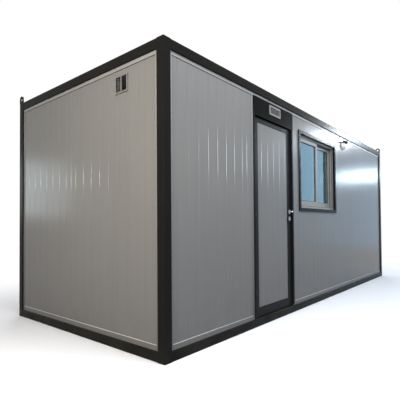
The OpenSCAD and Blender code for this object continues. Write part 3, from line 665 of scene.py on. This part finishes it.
hood_coat = finish("hood_enamel", Specular_IOR_Level=0.15)
spot = place_on(hood_coat)
hood_tone = patches(hood_coat, spot, 20.0, 4)
hood_colour = blend_colours(hood_coat, hood_tone,
                            (0.010, 0.010, 0.011, 1), (0.016, 0.016, 0.016, 1))
lamp_middle = (0.890, -1.183, 2.253)
reach = axes_of(hood_coat, vector_calc(hood_coat, "SUBTRACT", spot, lamp_middle))
outwards = add(hood_coat, "CombineXYZ", {"X": reach["X"], "Z": reach["Z"]}).outputs[0]
base_rim, base_front = (0.0703, 0.0706), (-0.0125, -0.0135)
on_hood = calc(hood_coat, "MAXIMUM",
               between(hood_coat, length_of(hood_coat, outwards), *base_rim),
               between(hood_coat, reach["Y"], *base_front))
wire(hood_coat, Base_Color=blend_colours(hood_coat, on_hood, (0.62, 0.625, 0.62, 1), hood_colour),
     Roughness=between(hood_coat, hood_tone, 0, 1, 0.35, 0.5))
coat(hood_coat, "wall_lamp")


# Floor of the studio
# A wide pale floor that takes the cabin's shadow near it and turns white further out. It
# throws little light back on the walls.
def looked_at(owner):
    """1 for rays that show in the picture, in a mirror or through glass, and 0 for others."""
    path = add(owner, "LightPath", {}).outputs
    direct = calc(owner, "MAXIMUM", path["Is Camera Ray"], path["Is Glossy Ray"])
    return calc(owner, "MAXIMUM", direct, path["Is Transmission Ray"])


floor_size, floor_height = 80, -0.001
start_piece()
bpy.ops.mesh.primitive_plane_add(size=floor_size, location=(0, 0, floor_height))
studio_floor = bpy.context.object
studio_floor.name = "studio_floor"
bpy.ops.object.transform_apply(location=True, rotation=True, scale=True)
pale = bpy.data.materials.new("studio_white")
pale.use_nodes = True
cabin_half = (3.0, 1.2, 0.0)
outside = vector_calc(pale, "ABSOLUTE", place_on(pale))
outside = vector_calc(pale, "SUBTRACT", outside, cabin_half)
outside = length_of(pale, vector_calc(pale, "MAXIMUM", outside))
fade_from, fade_to = 0.3, 3.0
far = add(pale, "MapRange", {"Value": outside, "From Min": fade_from, "From Max": fade_to},
          interpolation_type="SMOOTHSTEP").outputs["Result"]
lit = add(pale, "BsdfDiffuse", {"Color": (0.86, 0.88, 0.93, 1)}).outputs[0]
white = add(pale, "Emission", {"Color": (1, 1, 1, 1), "Strength": 1.0}).outputs[0]
dull = add(pale, "BsdfDiffuse", {"Color": (0.12, 0.12, 0.12, 1)}).outputs[0]
seen = add(pale, "MixShader", {0: far, 1: lit, 2: white}).outputs[0]
shown = add(pale, "MixShader", {0: looked_at(pale), 1: dull, 2: seen}).outputs[0]
pale.node_tree.links.new(shown, pale.node_tree.nodes["Material Output"].inputs["Surface"])
studio_floor.data.materials.append(pale)

# Studio light
# An even room light, soft boxes over and round the cabin, and a bright bank far off to the
# right, whose glare lies along the front wall.
world = bpy.data.worlds.new("studio")
scene.world = world
world.use_nodes = True
room = world.node_tree.nodes["Background"]
room.inputs["Color"].default_value = (0.95, 0.97, 1.0, 1)
room.inputs["Strength"].default_value = 0.14
backdrop = add(world, "Background", {"Color": (1, 1, 1, 1), "Strength": 1.0}).outputs[0]
chosen = add(world, "MixShader", {0: looked_at(world), 1: room.outputs[0], 2: backdrop}).outputs[0]
world.node_tree.links.new(chosen, world.node_tree.nodes["World Output"].inputs["Surface"])


def softbox(name, place, aim, width, height, power, colour, glints=True):
    """A rectangular lamp at a place, turned to a point, with or without its mirror image."""
    data = bpy.data.lights.new(name, "AREA")
    data.shape = "RECTANGLE"
    data.size = width
    data.size_y = height
    data.energy = power
    data.color = colour
    lamp = bpy.data.objects.new(name, data)
    lamp.location = place
    lamp.rotation_euler = (Vector(aim) - Vector(place)).to_track_quat("-Z", "Y").to_euler()
    lamp.visible_glossy = glints
    scene.collection.objects.link(lamp)


softbox("front_bank", (-2.4, -3.4, 5.0), (-2.2, -1.2, 1.8), 3.0, 1.2, 184,
        (0.925, 0.955, 1.0), glints=False)
softbox("front_strip", (-5.6, -7.0, 2.9), (-1.9, -1.2, 1.6), 2.8, 0.9, 118, (0.88, 0.955, 1.0))
softbox("front_fill", (2.6, -5.6, 4.6), (1.8, -1.2, 1.6), 3.4, 1.5, 96,
        (0.77, 0.92, 1.0), glints=False)
softbox("end_bank", (-5.8, -2.0, 2.3), (-3.0, -0.8, 1.4), 2.4, 2.0, 142,
        (1.0, 0.87, 0.70), glints=False)
softbox("end_strip", (-7.3, -2.0, 2.05), (-3.0, 0.3, 1.4), 2.6, 0.3, 48, (0.88, 0.95, 1.0))
softbox("far_strip", (-6.8, 9.3, 2.3), (-3.0, 1.0, 1.4), 2.5, 1.9, 68, (0.82, 0.94, 1.0))
softbox("top_bank", (0.0, 0.0, 7.5), (0.0, 0.0, 0.0), 8.0, 5.0, 260, (1.0, 1.0, 1.0))
softbox("rear_bank", (3.0, 8.5, 4.0), (0.0, 1.2, 1.2), 3.0, 2.0, 420, (1.0, 0.99, 0.97))
softbox("right_bank", (9.5, 2.5, 3.2), (3.0, 0.0, 1.2), 2.0, 1.5, 200, (0.96, 0.98, 1.0))
softbox("blue_bank", (12.5, -4.6, 2.4), (2.0, -1.2, 1.4), 7.0, 6.0, 96, (0.04, 0.48, 1.0))
softbox("glare_strip", (11.0, -4.05, 3.02), (1.5, -1.2, 1.9), 2.4, 0.42, 70, (0.70, 0.88, 1.0))
softbox("glare_lamp", (11.0, -4.8, 4.8), (0.7, -1.2, 2.3), 0.7, 0.5, 300, (0.84, 0.92, 1.0))
